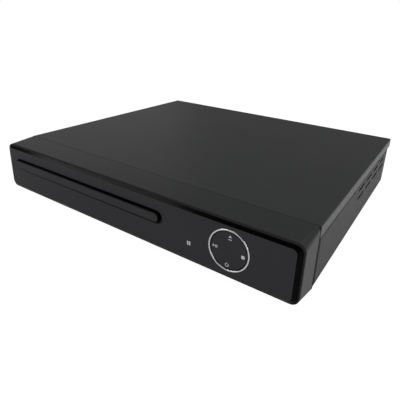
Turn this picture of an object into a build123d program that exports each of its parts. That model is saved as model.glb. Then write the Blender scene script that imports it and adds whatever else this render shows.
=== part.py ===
from build123d import *
import os
from math import acos, atan2, cos, degrees, hypot, pi, radians, sin, tan

# A slim disc player with a motor-driven loading tray, as separate pieces.
# Millimetres. X runs across the front with right as +X, Y runs from the front to the back, Z is up.
# The origin lies under the middle of the player, on the surface it stands on.

os.makedirs("parts", exist_ok=True)

# ---------------------------------------------------------------- driving sizes
BODY_W = 225.0  # outer width of the case
BODY_D = 200.0  # front rim of the bezel to the back of the case
BODY_H = 37.0  # underside of the chassis to the top of the cover
FOOT_H = 3.0
FOOT_R = 7.0
SHEET = 0.8  # steel sheet
LAP = 0.1  # gap between two lapped sheets
SEAM = 0.3  # gap between the bezel and the folded case
BEZEL_D = 20.0
BEZEL_WALL = 2.0
BEZEL_FRONT_WALL = 2.5
CORNER_R = 4.5  # bezel outline corners at the front
HEEL_R = 1.6  # bezel outline corners where they meet the folded case
FASCIA_T = 1.5
FASCIA_ROUND = 0.4  # where the face turns into the bevel
RIM_ROUND = 0.5  # front edge of the bezel
FASCIA_BEVEL_X = 2.9  # glossy bevel, at the sides
FASCIA_BEVEL_Z = 1.9  # glossy bevel, above and below
TRAY_PROUD = 1.8  # tray front beyond the fascia
JACK_OUT = 8.5  # phono barrels beyond the back of the case
FIT = 0.3  # clearance beside anything that moves
RUN = 0.05  # radial clearance of a shaft in its bearing

FRONT = -(BODY_D + JACK_OUT - FASCIA_T - TRAY_PROUD) / 2  # the bezel's front rim
BACK = FRONT + BODY_D
BASE = FOOT_H  # the chassis underside
TOP = BASE + BODY_H
FLOOR = BASE + SHEET
BEZEL_BACK = FRONT + BEZEL_D - SEAM
FASCIA_Y = FRONT - FASCIA_T
SIDE_X = BODY_W / 2 - SHEET - LAP  # outer face of the chassis sides

# tray and disc
DISC_R = 60.0
SMALL_DISC_R = 40.0
TRAY_X = -34.5  # centre line of the tray, the disc and the drive
TRAY_W = 128.6
TRAY_BOTTOM = BASE + 20.9
TRAY_TOP = BASE + 26.8
TRAY_LENGTH = 167.0
TRAY_FRONT_T = 3.8
TRAY_TRAVEL = 140.0
WELL_Z = BASE + 23.9  # floor of the large disc's well
SMALL_WELL_Z = BASE + 22.7
SLOT_W = 46.0
PILL_W = 133.6
PILL_H = 6.8
PILL_Z = BASE + 23.9
PILL_GAP = 0.4
SPINDLE_Y = FRONT + 82.0
TRAY_FRONT_Y = FASCIA_Y - TRAY_PROUD
TRAY_Y = TRAY_FRONT_Y + TRAY_FRONT_T
TRAY_END = TRAY_Y + TRAY_LENGTH

# loader
RAIL_GAP = 0.3
WALL = 2.0
LOADER_IN = TRAY_W / 2 + RAIL_GAP
LOADER_OUT = LOADER_IN + WALL
LOADER_FRONT = FRONT + 13.0
LOADER_BACK = FRONT + 178.0
DECK_Z = BASE + 13.5
DECK_T = 1.5
DECK_END = FRONT + 51.0
BRIDGE_Z = BASE + 28.2
STAND_H = 4.0

# gears
PITCH_1 = 1.0  # module of the rack and its pinion
PITCH_2 = 0.8  # module of the loading pair
PITCH_3 = 0.6  # module of the sled drive
RACK_X = TRAY_X + 60.7  # pitch line of the tray's rack
PINION_TEETH = 12
WHEEL_TEETH = 22
DRIVER_TEETH = 12
TRAY_GEAR_Y = FRONT + 24.5
PULLEY_R = 10.0
MOTOR_PULLEY_R = 3.5
BELT_T = 1.2

# traverse
HINGE_Y = FRONT + 165.0
HINGE_Z = BASE + 12.0
CRADLE_W = 80.0
CRADLE_FRONT = FRONT + 56.0
PLATE_Z = BASE + 14.0
PLATE_T = 1.2
PIN_R = 1.5
CAM_PIN_X = 22.0
CAM_PIN_Z = BASE + 14.0
CAM_STROKE = 20.0
CAM_DROP = 8.4
ROD_X = 20.5
ROD_R = 1.5
ROD_Z = BASE + 17.0
PICKUP_Y = FRONT + 105.0  # lens over the innermost track
PICKUP_W = 33.0
RACK2_X = TRAY_X + 26.9  # pitch line of the pickup's rack
SLED_GEAR_Y = FRONT + 117.0
SLED_GEAR_SMALL = 12
SLED_GEAR_LARGE = 18
SLED_PINION_TEETH = 10

# front controls
KEY_X = 75.3
KEY_Z = BASE + 20.4
RING_R = 11.7
RING_IN = 10.8
KEY_R = 10.4
POST_AT = 7.5
GIMBAL_Y = FRONT + 3.5
BOARD_Y = FRONT + 9.0
BOARD_T = 1.6
FRONT_BOARD_W = 60.0
FRONT_BOARD_X = 74.0

# boards
BOARD_Z = FLOOR + STAND_H
PARTS_Z = BOARD_Z + BOARD_T
MAIN_X0 = 41.2
MAIN_X1 = 70.5
POWER_X0 = 73.0
POWER_X1 = 108.0
BOARD_FRONT = FRONT + 62.0
BOARD_BACK = BACK - 3.5
WING_X0 = -15.0
WING_Y = BACK - 16.5

# back panel
PANEL_OUT = BACK - SHEET - LAP - 0.2  # outer face of the back panel
JACK_X = 50.0
JACK_PITCH_X = 14.0
JACK_PITCH_Z = 13.0
JACK_Z = BASE + 18.5
JACK_R = 4.15
JACK_BORE_R = 3.65  # inside of the barrel
JACK_SHOULDER = PANEL_OUT + 0.4  # the barrel starts here
JACK_NOSE_R = 5.0
VIDEO_X = 8.0
VIDEO_W = 15.0
VIDEO_H = 6.1
VIDEO_Z = PARTS_Z + VIDEO_H / 2
INLET_X = 92.0
INLET_Z = BASE + 14.0
INLET_W = 17.0
INLET_H = 8.6
INLET_PITCH = 8.6

SCREW_R = 1.45
HOLE_R = 1.6
HEAD_R = 2.8
HEAD_H = 1.8


# ---------------------------------------------------------------- helpers
def facing_front(y):
    """A sketch plane across the player at this Y, seen from the front."""
    return Plane((0, y, 0), x_dir=(1, 0, 0), z_dir=(0, -1, 0))


def block(x0, x1, y0, y1, z0, z1, mode=Mode.ADD):
    """A box between limits, in the part being built."""
    with Locations(((x0 + x1) / 2, (y0 + y1) / 2, (z0 + z1) / 2)):
        Box(x1 - x0, y1 - y0, z1 - z0, mode=mode)


def round_z(x, y, z0, z1, radius, mode=Mode.ADD):
    """A cylinder along Z between two heights."""
    with Locations((x, y, (z0 + z1) / 2)):
        Cylinder(radius, z1 - z0, mode=mode)


def round_y(x, z, y0, y1, radius, mode=Mode.ADD):
    """A cylinder along Y between two depths."""
    with Locations((x, (y0 + y1) / 2, z)):
        Cylinder(radius, y1 - y0, rotation=(90, 0, 0), mode=mode)


def round_x(y, z, x0, x1, radius, mode=Mode.ADD):
    """A cylinder along X between two sides."""
    with Locations(((x0 + x1) / 2, y, z)):
        Cylinder(radius, x1 - x0, rotation=(0, 90, 0), mode=mode)


def gear_points(teeth, module, phase=0.0, backlash=0.16, steps=4):
    """Outline of an involute gear; a tooth points along the phase angle, in degrees."""
    pitch_r = module * teeth / 2
    base_r = pitch_r * cos(radians(20))
    tip_r = pitch_r + 0.95 * module
    root_r = pitch_r - 1.2 * module
    start_r = max(base_r, root_r + 0.05 * module)
    involute = tan(radians(20)) - radians(20)
    half = (pi * module / 2 - backlash) / (2 * pitch_r) + involute
    flank = [(root_r, half)]
    for i in range(steps):
        r = start_r + (tip_r - start_r) * i / (steps - 1)
        at = acos(min(1.0, base_r / r))
        flank.append((r, half - (tan(at) - at)))
    points = []
    for tooth in range(teeth):
        middle = radians(phase) + 2 * pi * tooth / teeth
        for r, side in flank:
            points.append((r * cos(middle - side), r * sin(middle - side)))
        for r, side in reversed(flank):
            points.append((r * cos(middle + side), r * sin(middle + side)))
    return points


def toothed_wheel(x, y, z0, z1, teeth, module, phase=0.0):
    """A toothed disc between two heights, in the part being built."""
    with BuildSketch(Plane((x, y, z0))) as outline:
        with BuildLine():
            Polyline(*gear_points(teeth, module, phase), close=True)
        make_face()
    extrude(outline.sketch, amount=z1 - z0)


def rack_teeth(x, y0, count, z0, z1, module, side, backlash=0.16):
    """Rack teeth along Y from a pitch line at x, their tips pointing to the given side."""
    pitch = pi * module
    tip = 0.95 * module
    root = 1.2 * module
    flat = pitch / 4 - backlash / 4
    lean = tan(radians(20))
    with BuildSketch(Plane.XY.offset(z0)) as outline:
        for i in range(count):
            middle = y0 + (i + 0.5) * pitch
            with BuildLine():
                Polyline(
                    (x - side * (root + 0.2), middle - flat - root * lean),
                    (x - side * root, middle - flat - root * lean),
                    (x + side * tip, middle - flat + tip * lean),
                    (x + side * tip, middle + flat - tip * lean),
                    (x - side * root, middle + flat + root * lean),
                    (x - side * (root + 0.2), middle + flat + root * lean),
                    close=True,
                )
            make_face()
    extrude(outline.sketch, amount=z1 - z0)


def screws(spots, plane_at, length, head_r=HEAD_R, shank_r=SCREW_R):
    """Pan-head screws as separate solids: each spot is a point of the seat, heads along the plane's normal."""
    for spot in spots:
        seat = plane_at(spot)
        with BuildSketch(seat) as head:
            Circle(head_r)
        extrude(head.sketch, amount=HEAD_H)
        with BuildSketch(seat) as shank:
            Circle(shank_r)
        extrude(shank.sketch, amount=-length)
        with BuildSketch(seat.offset(HEAD_H)) as recess:
            Rectangle(2.6, 0.6)
            Rectangle(0.6, 2.6)
        extrude(recess.sketch, amount=-1.0, mode=Mode.SUBTRACT)


def save(piece, label):
    """Name a finished piece and write it."""
    piece.part.label = label
    export_step(piece.part, f"parts/{label}.step")


# ---------------------------------------------------------------- places shared by several pieces
COVER_TABS_X = (-95.0, 0.0, 88.0)
COVER_SKIRT = 6.4  # height of the cover's flanges
COVER_TAB_Z = TOP - COVER_SKIRT / 2
LIP_SCREWS_X = (-90.0, 30.0, 100.0)
LIP_SCREW_Y = BACK - 7.0
LOADER_EARS = [
    (TRAY_X - LOADER_OUT - 4.0, FRONT + 28.0),
    (TRAY_X + LOADER_OUT + 4.0, FRONT + 28.0),
    (TRAY_X - LOADER_OUT - 4.0, FRONT + 171.0),
    (TRAY_X + LOADER_OUT + 4.0, FRONT + 171.0),
]
BOARD_SPOTS = [
    (MAIN_X0 + 4, BOARD_FRONT + 4),
    (MAIN_X1 - 4, BOARD_FRONT + 4),
    (MAIN_X1 - 4, BOARD_BACK - 26),
    (WING_X0 + 4, WING_Y + 5),
    (POWER_X0 + 4, BOARD_FRONT + 4),
    (POWER_X1 - 4, BOARD_FRONT + 4),
    (POWER_X0 + 4, BOARD_BACK - 36),
    (POWER_X1 - 4, BOARD_BACK - 36),
]
FRONT_BOARD_SPOTS = [
    (FRONT_BOARD_X + sx * (FRONT_BOARD_W / 2 - 3), BASE + 20 + sz * 10.5) for sx in (-1, 1) for sz in (-1, 1)
]
FEET = [(sx * 92.0, y) for sx in (-1, 1) for y in (FRONT + 34.0, BACK - 26.0)]
JACKS = [
    (JACK_X + sx * JACK_PITCH_X / 2, JACK_Z + sz * JACK_PITCH_Z / 2) for sx in (-1, 1) for sz in (-1, 1)
]

# ---------------------------------------------------------------- case
VENT_Z = (BASE + 17.9, BASE + 24.0)
VENT_L = 16.5
VENT_H = 2.0
VENT_FIRST_Y = FRONT + 112.3
VENT_PITCH = 22.1
VENT_COUNT = 4

with BuildPart() as chassis_tray:
    block(-SIDE_X, SIDE_X, FRONT + BEZEL_D, PANEL_OUT, BASE, FLOOR)
    for side in (-1, 1):
        inner = side * (SIDE_X - SHEET)
        outer = side * SIDE_X
        block(min(inner, outer), max(inner, outer), FRONT + BEZEL_D, PANEL_OUT, BASE, TOP - SHEET - 0.8)
    for x, y in LOADER_EARS + BOARD_SPOTS:
        round_z(x, y, FLOOR, FLOOR + STAND_H, 3.0)
        round_z(x, y, BASE - 1, FLOOR + STAND_H + 1, HOLE_R - 0.1, Mode.SUBTRACT)
    for x in LIP_SCREWS_X:
        round_z(x, LIP_SCREW_Y, BASE - 1, FLOOR + 1, HOLE_R, Mode.SUBTRACT)
    with BuildSketch(Plane.YZ.offset(SIDE_X + 1)):
        for z in VENT_Z:
            for i in range(VENT_COUNT):
                with Locations((VENT_FIRST_Y + i * VENT_PITCH, z)):
                    SlotOverall(VENT_L, VENT_H)
    extrude(amount=-SHEET - 2, mode=Mode.SUBTRACT)
    with BuildSketch(Plane.XY.offset(BASE - 1)):
        with Locations((POWER_X0 + 17.5, FRONT + 130)):
            with GridLocations(0, 8, 1, 6):
                SlotOverall(24, 2.5)
    extrude(amount=SHEET + 2, mode=Mode.SUBTRACT)
save(chassis_tray, "chassis_tray")

with BuildPart() as top_cover:
    with BuildSketch(facing_front(FRONT + BEZEL_D)):
        with Locations((0, TOP - COVER_SKIRT / 2)):
            Rectangle(BODY_W, COVER_SKIRT)
    extrude(amount=-(BODY_D - BEZEL_D))
    cover_rim = top_cover.edges().filter_by(Axis.Y).group_by(Axis.Z)[-1]
    fillet(cover_rim, 1.0)
    block(
        -BODY_W / 2 + SHEET, BODY_W / 2 - SHEET, FRONT, BACK - SHEET, TOP - COVER_SKIRT - 1, TOP - SHEET,
        Mode.SUBTRACT,
    )
    with BuildSketch(facing_front(BACK + 1)):
        for x in COVER_TABS_X:
            with Locations((x, COVER_TAB_Z)):
                Circle(HOLE_R)
    extrude(amount=3, mode=Mode.SUBTRACT)
save(top_cover, "top_cover")

with BuildPart() as rear_panel:
    block(-SIDE_X + SHEET + LAP, SIDE_X - SHEET - LAP, PANEL_OUT - SHEET, PANEL_OUT, FLOOR, TOP - SHEET - FIT)
    block(-SIDE_X + 4, WING_X0 - 3, PANEL_OUT - 14, PANEL_OUT - SHEET, FLOOR, FLOOR + SHEET)
    block(POWER_X0, SIDE_X - 4, PANEL_OUT - 14, PANEL_OUT - SHEET, FLOOR, FLOOR + SHEET)
    block(LIP_SCREWS_X[1] - 6, LIP_SCREWS_X[1] + 6, PANEL_OUT - 14, PANEL_OUT - SHEET, FLOOR, FLOOR + SHEET)
    for x in LIP_SCREWS_X:
        round_z(x, LIP_SCREW_Y, FLOOR - 1, FLOOR + 2, HOLE_R - 0.1, Mode.SUBTRACT)
    with BuildSketch(facing_front(PANEL_OUT + 1)):
        for x in COVER_TABS_X:
            with Locations((x, COVER_TAB_Z)):
                Circle(HOLE_R - 0.1)
        for x, z in JACKS:
            with Locations((x, z)):
                Circle(JACK_NOSE_R + 0.2)
        with Locations((VIDEO_X, VIDEO_Z)):
            Rectangle(VIDEO_W + 0.6, VIDEO_H + 0.6)
        with Locations((INLET_X, INLET_Z)):
            Rectangle(INLET_W + 4.4, INLET_H + 4.4)
    extrude(amount=3, mode=Mode.SUBTRACT)
save(rear_panel, "rear_panel")

with BuildPart() as rubber_feet:
    with BuildSketch(Plane.XY):
        with Locations(FEET):
            Circle(FOOT_R)
    extrude(amount=FOOT_H)
    chamfer(rubber_feet.edges().group_by(Axis.Z)[0], 0.5)
save(rubber_feet, "rubber_feet")

with BuildPart() as case_screws:
    screws(
        [(x, BACK, COVER_TAB_Z) for x in COVER_TABS_X],
        lambda p: Plane(p, x_dir=(1, 0, 0), z_dir=(0, 1, 0)),
        5.0,
    )
    screws(
        [(x, LIP_SCREW_Y, BASE) for x in LIP_SCREWS_X],
        lambda p: Plane(p, x_dir=(1, 0, 0), z_dir=(0, 0, -1)),
        3.0,
    )
save(case_screws, "case_screws")

# ---------------------------------------------------------------- bezel and fascia
RIM_Z0 = BASE + 3.5
RIM_Z1 = BASE + 36.1
HEEL_Z0 = BASE + 0.5
CAVITY_Z0 = BASE + 5.5
CAVITY_Z1 = BASE + 34.0
TONGUES_X = (-85.0, 0.0, 85.0)
SENSOR_X = 51.2
SENSOR_Z = BASE + 14.9

with BuildPart() as front_bezel:
    with BuildSketch(facing_front(FRONT)):
        with Locations((0, (RIM_Z0 + RIM_Z1) / 2)):
            RectangleRounded(BODY_W, RIM_Z1 - RIM_Z0, CORNER_R)
    with BuildSketch(facing_front(BEZEL_BACK)):
        with Locations((0, (HEEL_Z0 + TOP) / 2)):
            RectangleRounded(BODY_W, TOP - HEEL_Z0, HEEL_R)
    loft()
    fillet(front_bezel.faces().sort_by(Axis.Y)[0].edges(), RIM_ROUND)
    block(
        -BODY_W / 2 + BEZEL_WALL, BODY_W / 2 - BEZEL_WALL, FRONT + BEZEL_FRONT_WALL, BEZEL_BACK + 1,
        CAVITY_Z0, CAVITY_Z1, Mode.SUBTRACT,
    )
    for x in TONGUES_X:
        block(x - 6, x + 6, BEZEL_BACK - 2, BEZEL_BACK + 6, TOP - SHEET - FIT - 2.0, TOP - SHEET - FIT)
        block(x - 6, x + 6, BEZEL_BACK - 2, BEZEL_BACK + 6, FLOOR + FIT, FLOOR + FIT + 1.6)
    with BuildSketch(facing_front(FRONT - 1)):
        with Locations((TRAY_X, PILL_Z)):
            SlotOverall(PILL_W + 1.0, PILL_H + 1.0)
        with Locations((KEY_X, KEY_Z)):
            Circle(RING_IN + 0.2)
        with Locations((SENSOR_X, SENSOR_Z)):
            Circle(2.5)
    extrude(amount=-(BEZEL_FRONT_WALL + 2), mode=Mode.SUBTRACT)
    # four arms carry the gimbal's outer pins behind the control disc
    with BuildSketch(facing_front(FRONT + 2.0)):
        with Locations((KEY_X, KEY_Z)):
            with PolarLocations(9.1, 2, start_angle=45):
                Rectangle(6.8, 3.0)
    extrude(amount=-3.0)
    with BuildSketch(Plane((KEY_X, GIMBAL_Y, KEY_Z), x_dir=(0, 1, 0), z_dir=(1, 0, 1))):
        Circle(0.6 + RUN)
    extrude(amount=7.5, both=True, mode=Mode.SUBTRACT)
    for x, z in FRONT_BOARD_SPOTS:
        round_y(x, z, FRONT + BEZEL_FRONT_WALL - 0.5, BOARD_Y, 2.5)
        round_y(x, z, FRONT + BEZEL_FRONT_WALL + 0.5, BOARD_Y + 1, SCREW_R + 0.05, Mode.SUBTRACT)
save(front_bezel, "front_bezel")

EDGE = 0.7  # bezel rim left bare round the fascia
with BuildPart() as fascia_panel:
    with BuildSketch(facing_front(FRONT)):
        with Locations((0, (RIM_Z0 + RIM_Z1) / 2)):
            RectangleRounded(BODY_W - 2 * EDGE, RIM_Z1 - RIM_Z0 - 2 * EDGE, CORNER_R - EDGE)
    with BuildSketch(facing_front(FASCIA_Y)):
        with Locations((0, (RIM_Z0 + RIM_Z1) / 2)):
            RectangleRounded(
                BODY_W - 2 * (EDGE + FASCIA_BEVEL_X), RIM_Z1 - RIM_Z0 - 2 * (EDGE + FASCIA_BEVEL_Z), 2.4
            )
    loft()
    fillet(fascia_panel.faces().sort_by(Axis.Y)[0].edges(), FASCIA_ROUND)
    with BuildSketch(facing_front(FASCIA_Y - 1)):
        with Locations((TRAY_X, PILL_Z)):
            SlotOverall(PILL_W, PILL_H)
        with Locations((KEY_X, KEY_Z)):
            Circle(RING_R + 0.05)
    extrude(amount=-(FASCIA_T + 2), mode=Mode.SUBTRACT)
save(fascia_panel, "fascia_panel")

with BuildPart() as control_ring:
    with BuildSketch(facing_front(FRONT)):
        with Locations((KEY_X, KEY_Z)):
            Circle(RING_R)
            Circle(RING_IN, mode=Mode.SUBTRACT)
    extrude(amount=FASCIA_T + 0.5)
    fillet(control_ring.faces().sort_by(Axis.Y)[0].edges(), 0.3)
save(control_ring, "control_ring")

KEY_PLATE_Y = FRONT + 1.0
POST_END = FRONT + 5.6
BOSS_R = 2.6
with BuildPart() as control_disc:
    round_y(KEY_X, KEY_Z, FASCIA_Y - 0.2, KEY_PLATE_Y, KEY_R)
    fillet(control_disc.faces().sort_by(Axis.Y)[0].edges(), 0.4)
    round_y(KEY_X, KEY_Z, KEY_PLATE_Y - 0.1, GIMBAL_Y + 1.0, BOSS_R)
    with BuildSketch(facing_front(KEY_PLATE_Y - 0.1)):
        with Locations((KEY_X, KEY_Z)):
            with PolarLocations(POST_AT, 4):
                Circle(1.0)
    extrude(amount=-(POST_END - KEY_PLATE_Y + 0.1))
    with BuildSketch(Plane((KEY_X, GIMBAL_Y, KEY_Z), x_dir=(0, 1, 0), z_dir=(-1, 0, 1))):
        Circle(0.6 + RUN)
    extrude(amount=BOSS_R + 1, both=True, mode=Mode.SUBTRACT)
save(control_disc, "control_disc")

with BuildPart() as rocker_gimbal:
    with BuildSketch(facing_front(GIMBAL_Y - 0.7)):
        with Locations((KEY_X, KEY_Z)):
            Circle(5.0)
            Circle(3.5, mode=Mode.SUBTRACT)
    extrude(amount=-1.4)
    with BuildSketch(Plane((KEY_X, GIMBAL_Y, KEY_Z), x_dir=(0, 1, 0), z_dir=(1, 0, 1))):
        Circle(0.6)
    extrude(amount=7.2, both=True)
    with BuildSketch(Plane((KEY_X, GIMBAL_Y, KEY_Z), x_dir=(0, 1, 0), z_dir=(1, 0, 1))):
        Circle(1.2)
    extrude(amount=3.6, both=True, mode=Mode.SUBTRACT)
    with BuildSketch(Plane((KEY_X, GIMBAL_Y, KEY_Z), x_dir=(0, 1, 0), z_dir=(-1, 0, 1))):
        Circle(0.6)
    extrude(amount=3.8, both=True)
    with BuildSketch(Plane((KEY_X, GIMBAL_Y, KEY_Z), x_dir=(0, 1, 0), z_dir=(-1, 0, 1))):
        Circle(0.9)
    extrude(amount=1.2, both=True, mode=Mode.SUBTRACT)
save(rocker_gimbal, "rocker_gimbal")

SWITCH_Y = FRONT + 6.8
PLUNGER_TIP = FRONT + 6.0
PLUNGER_R = 1.4
with BuildPart() as switch_bodies:
    with BuildSketch(facing_front(BOARD_Y)):
        with Locations((KEY_X, KEY_Z)):
            with PolarLocations(POST_AT, 4):
                Rectangle(5.6, 5.6)
    extrude(amount=BOARD_Y - SWITCH_Y)
    with BuildSketch(facing_front(SWITCH_Y - 1)):
        with Locations((KEY_X, KEY_Z)):
            with PolarLocations(POST_AT, 4):
                Circle(PLUNGER_R + RUN)
    extrude(amount=-(1 + 1.6), mode=Mode.SUBTRACT)
save(switch_bodies, "switch_bodies")

PLUNGERS = {"right": (1, 0), "up": (0, 1), "left": (-1, 0), "down": (0, -1)}
for side, (sx, sz) in PLUNGERS.items():
    with BuildPart() as plunger:
        round_y(KEY_X + sx * POST_AT, KEY_Z + sz * POST_AT, PLUNGER_TIP, SWITCH_Y + 1.2, PLUNGER_R)
    save(plunger, f"switch_plunger_{side}")

with BuildPart() as front_board:
    with BuildSketch(facing_front(BOARD_Y)):
        with Locations((FRONT_BOARD_X, BASE + 20)):
            Rectangle(FRONT_BOARD_W, 26)
        with Locations(FRONT_BOARD_SPOTS):
            Circle(HOLE_R, mode=Mode.SUBTRACT)
    extrude(amount=-BOARD_T)
save(front_board, "front_board")

with BuildPart() as remote_receiver:
    block(SENSOR_X - 3, SENSOR_X + 3, FRONT + 5.0, BOARD_Y, SENSOR_Z - 2.5, SENSOR_Z + 3.5)
    with Locations((SENSOR_X, FRONT + 5.0, SENSOR_Z)):
        Sphere(2.2)
save(remote_receiver, "remote_receiver")

# ---------------------------------------------------------------- loader frame
LEDGE_Z = TRAY_BOTTOM - RAIL_GAP
WELL_LEFT = TRAY_X - CRADLE_W / 2 - 2.0
WELL_RIGHT = TRAY_X + CRADLE_W / 2 + 2.0
MOTOR_X = TRAY_X + 4.5
MOTOR_Y = FRONT + 36.0
MOTOR_R = 12.2
TRAY_GEAR_X = RACK_X - PITCH_1 * PINION_TEETH / 2
PULLEY_SPACING = PITCH_2 * (WHEEL_TEETH + DRIVER_TEETH) / 2
PULLEY_X = TRAY_GEAR_X - PULLEY_SPACING
PULLEY_Y = TRAY_GEAR_Y
WEB_Y0 = DECK_END - 1.0
CAM_Y0 = DECK_END + FIT + 0.5
CAM_Y1 = CAM_Y0 + 2.0
LEDGE_W = 2.4
POST_R = 1.5

with BuildPart() as loader_frame:
    for side in (-1, 1):
        inner = TRAY_X + side * LOADER_IN
        outer = TRAY_X + side * LOADER_OUT
        x0, x1 = min(inner, outer), max(inner, outer)
        block(x0, x1, BEZEL_BACK + 7.0, LOADER_BACK, FLOOR + STAND_H, BRIDGE_Z)
        block(x0, x1, LOADER_FRONT, BEZEL_BACK + 8.0, DECK_Z, BRIDGE_Z)
        ledge = inner - side * LEDGE_W
        block(min(ledge, inner), max(ledge, inner), LOADER_FRONT, LOADER_BACK, LEDGE_Z - 1.1, LEDGE_Z)
        for y in (LOADER_FRONT, FRONT + 110):
            block(min(ledge, inner), max(ledge, inner), y, y + 8, TRAY_TOP + FIT, BRIDGE_Z)
    deck_left = TRAY_X - LOADER_OUT
    deck_right = TRAY_X + LOADER_OUT
    block(deck_left, deck_right, LOADER_FRONT, DECK_END, DECK_Z, DECK_Z + DECK_T)
    block(deck_left, WELL_LEFT, CAM_Y1 + FIT, LOADER_BACK, DECK_Z, DECK_Z + DECK_T)
    block(WELL_RIGHT, deck_right, CAM_Y1 + FIT, LOADER_BACK, DECK_Z, DECK_Z + DECK_T)
    block(deck_left, deck_right, LOADER_BACK - WALL, LOADER_BACK, FLOOR + STAND_H, DECK_Z + DECK_T)
    # web and rail behind which the cam slides
    block(deck_left, deck_right, WEB_Y0, DECK_END, FLOOR + 1.2, DECK_Z + DECK_T)
    block(WELL_LEFT - 14, WELL_RIGHT + 14, WEB_Y0, CAM_Y1, FLOOR + 0.6, FLOOR + 1.6)
    # bearing blocks of the traverse
    for x in (WELL_LEFT - 5, WELL_RIGHT):
        block(x, x + 5, HINGE_Y - 4, HINGE_Y + 4, HINGE_Z - 4, DECK_Z + 0.5)
    round_x(HINGE_Y, HINGE_Z, WELL_LEFT - 5.5, WELL_RIGHT + 5.5, PIN_R + 0.5 + RUN, Mode.SUBTRACT)
    for x, y in LOADER_EARS:
        side = 1 if x > TRAY_X else -1
        wall = TRAY_X + side * (LOADER_OUT - 0.5)
        far = x + side * 4.0
        block(min(wall, far), max(wall, far), y - 5, y + 5, FLOOR + STAND_H, FLOOR + STAND_H + 2.0)
        round_z(x, y, FLOOR, FLOOR + STAND_H + 3, HOLE_R, Mode.SUBTRACT)
    # gear posts and the motor's hole
    round_z(TRAY_GEAR_X, TRAY_GEAR_Y, DECK_Z, TRAY_BOTTOM - 1.0, POST_R)
    round_z(PULLEY_X, PULLEY_Y, DECK_Z, DECK_Z + 5.6, POST_R)
    round_z(MOTOR_X, MOTOR_Y, DECK_Z - 1, DECK_Z + DECK_T + 1, MOTOR_PULLEY_R + 1.2, Mode.SUBTRACT)
save(loader_frame, "loader_frame")

BRIDGE_T = 1.5
PUCK_R = 13.0
PUCK_FLANGE_R = 17.0
with BuildPart() as clamp_bridge:
    block(
        TRAY_X - LOADER_OUT, TRAY_X + LOADER_OUT, SPINDLE_Y - 22, SPINDLE_Y + 22, BRIDGE_Z, BRIDGE_Z + BRIDGE_T
    )
    for y in (SPINDLE_Y - 22, SPINDLE_Y + 20.5):
        block(TRAY_X - 50, TRAY_X + 50, y, y + 1.5, BRIDGE_Z + BRIDGE_T, BRIDGE_Z + BRIDGE_T + 2.5)
    round_z(TRAY_X, SPINDLE_Y, BRIDGE_Z - 1, BRIDGE_Z + BRIDGE_T + 1, PUCK_R + 1.0, Mode.SUBTRACT)
    with BuildSketch(Plane.XY.offset(BRIDGE_Z + BRIDGE_T + 1)):
        for sx in (-1, 1):
            with Locations((TRAY_X + sx * 42, SPINDLE_Y)):
                SlotOverall(24, 14, rotation=90)
    extrude(amount=-BRIDGE_T - 2, mode=Mode.SUBTRACT)
save(clamp_bridge, "clamp_bridge")

PUCK_Z = BASE + 27.6
PUCK_FLANGE_Z = BRIDGE_Z + BRIDGE_T + FIT
HUB_TOP = BASE + 28.5
HUB_R = 7.4
with BuildPart() as clamp_puck:
    round_z(TRAY_X, SPINDLE_Y, PUCK_Z, PUCK_FLANGE_Z + 1.2, PUCK_R)
    round_z(TRAY_X, SPINDLE_Y, PUCK_FLANGE_Z, PUCK_FLANGE_Z + 1.2, PUCK_FLANGE_R)
    round_z(TRAY_X, SPINDLE_Y, PUCK_Z - 1, HUB_TOP + 0.5, HUB_R + 0.8, Mode.SUBTRACT)
    with BuildSketch(Plane.XY.offset(PUCK_FLANGE_Z + 2)):
        with Locations((TRAY_X, SPINDLE_Y)):
            with PolarLocations(15.0, 6):
                Circle(1.0)
    extrude(amount=-3, mode=Mode.SUBTRACT)
save(clamp_puck, "clamp_puck")

with BuildPart() as clamp_yoke:
    round_z(TRAY_X, SPINDLE_Y, PUCK_FLANGE_Z + 1.2, PUCK_FLANGE_Z + 2.4, 11.0)
save(clamp_yoke, "clamp_yoke")

# ---------------------------------------------------------------- tray
CHANNEL_LEFT = TRAY_GEAR_X - PITCH_1 * (PINION_TEETH / 2 + 0.95) - 0.6
CHANNEL_RIGHT = RACK_X + 1.2 * PITCH_1
CHANNEL_TOP = BASE + 23.0
RACK_Y0 = TRAY_GEAR_Y - pi * PITCH_1  # a gap of the rack faces the pinion
RACK_COUNT = 46
with BuildPart() as disc_tray:
    block(TRAY_X - TRAY_W / 2, TRAY_X + TRAY_W / 2, TRAY_Y, TRAY_END, TRAY_BOTTOM, TRAY_TOP)
    fillet(disc_tray.edges().filter_by(Axis.Y).group_by(Axis.Z)[-1], 1.0)
    round_z(TRAY_X, SPINDLE_Y, WELL_Z, TRAY_TOP + 1, DISC_R + 0.5, Mode.SUBTRACT)
    round_z(TRAY_X, SPINDLE_Y, SMALL_WELL_Z, TRAY_TOP + 1, SMALL_DISC_R + 0.5, Mode.SUBTRACT)
    round_z(TRAY_X, SPINDLE_Y, TRAY_BOTTOM - 1, TRAY_TOP + 1, SLOT_W / 2, Mode.SUBTRACT)
    block(
        TRAY_X - SLOT_W / 2, TRAY_X + SLOT_W / 2, SPINDLE_Y, TRAY_END + 1, TRAY_BOTTOM - 1, TRAY_TOP + 1,
        Mode.SUBTRACT,
    )
    block(CHANNEL_LEFT, CHANNEL_RIGHT, TRAY_Y + 8, TRAY_END + 1, TRAY_BOTTOM - 1, CHANNEL_TOP, Mode.SUBTRACT)
    rack_teeth(RACK_X, RACK_Y0, RACK_COUNT, TRAY_BOTTOM, CHANNEL_TOP + 0.2, PITCH_1, -1)
    for sx in (-1, 1):
        block(
            TRAY_X + sx * 49 - 4, TRAY_X + sx * 49 + 4, SPINDLE_Y + 48, TRAY_END - 4, WELL_Z, TRAY_TOP + 1,
            Mode.SUBTRACT,
        )
save(disc_tray, "disc_tray")

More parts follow.
